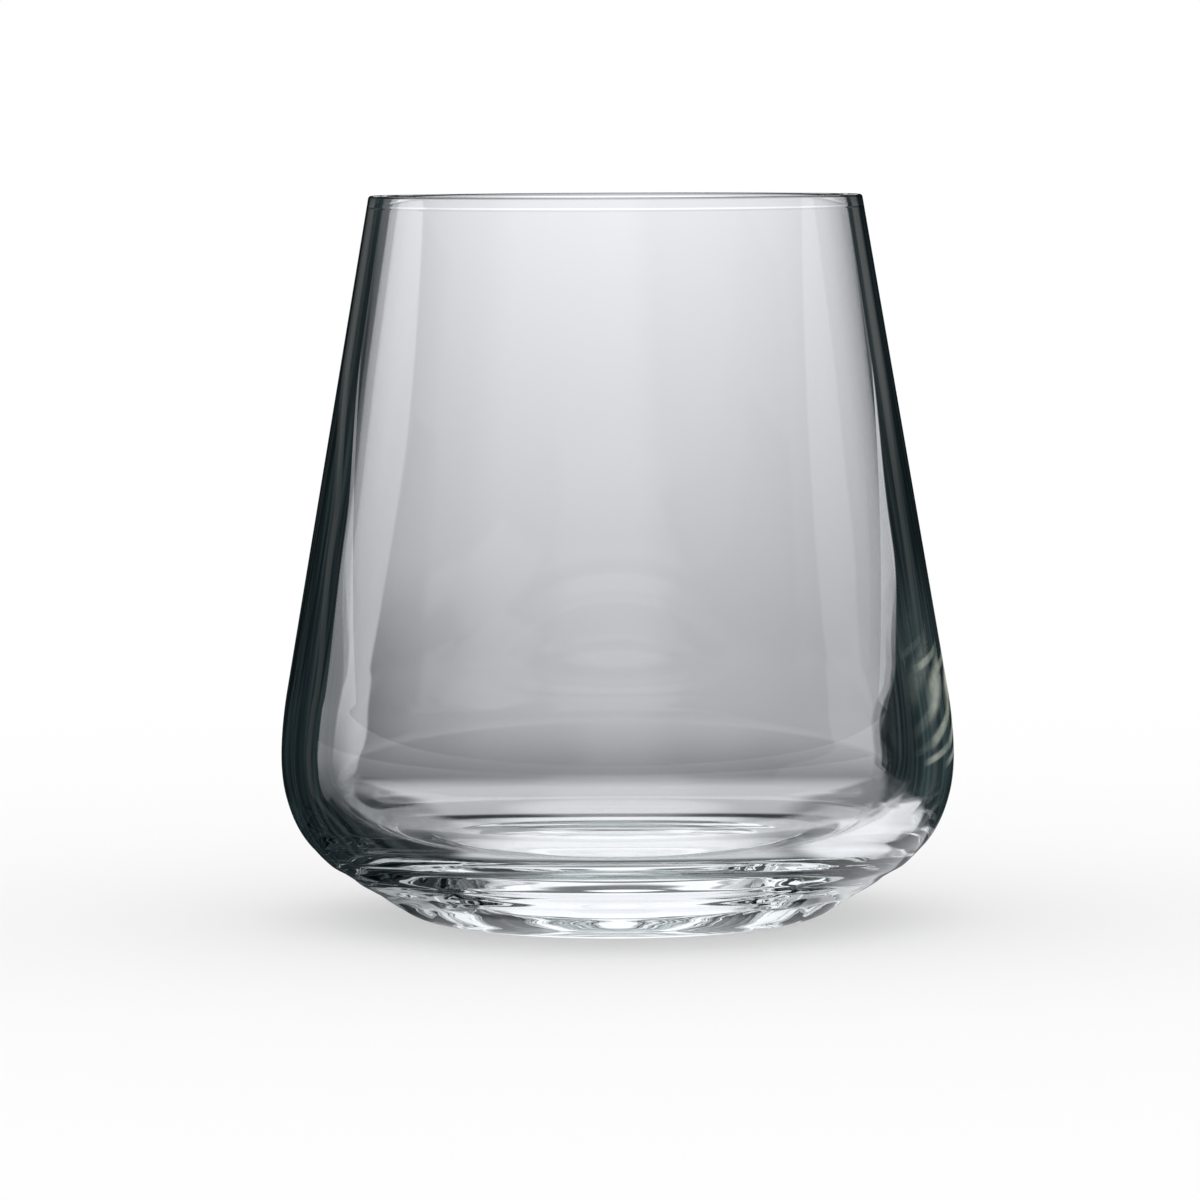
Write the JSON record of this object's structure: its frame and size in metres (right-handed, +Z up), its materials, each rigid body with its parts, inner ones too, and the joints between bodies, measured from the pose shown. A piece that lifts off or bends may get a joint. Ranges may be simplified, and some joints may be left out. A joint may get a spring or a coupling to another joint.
{
  "type": "double old fashioned glass",
  "caption": "Clear drinking tumbler with straight tapered sides, a low round belly, a flat lip and a thick sham base, for short drinks over ice.",
  "frame": {"origin": "centre of the foot ring on the plane that the glass stands on", "axes": "+Z up along the axis of the glass, towards the rim; X and Y are any two level directions, since the glass is round"},
  "size_m": [0.0944, 0.0944, 0.1012],
  "materials": {
    "clear_glass": "clear, fire-polished soda-lime glass with a faint blue-green tint where it is thick"
  },
  "bodies": {
    "root": {"rim": "clear_glass", "side_wall": "clear_glass", "heel": "clear_glass", "sham_base": "clear_glass"}
  },
  "joints": []
}
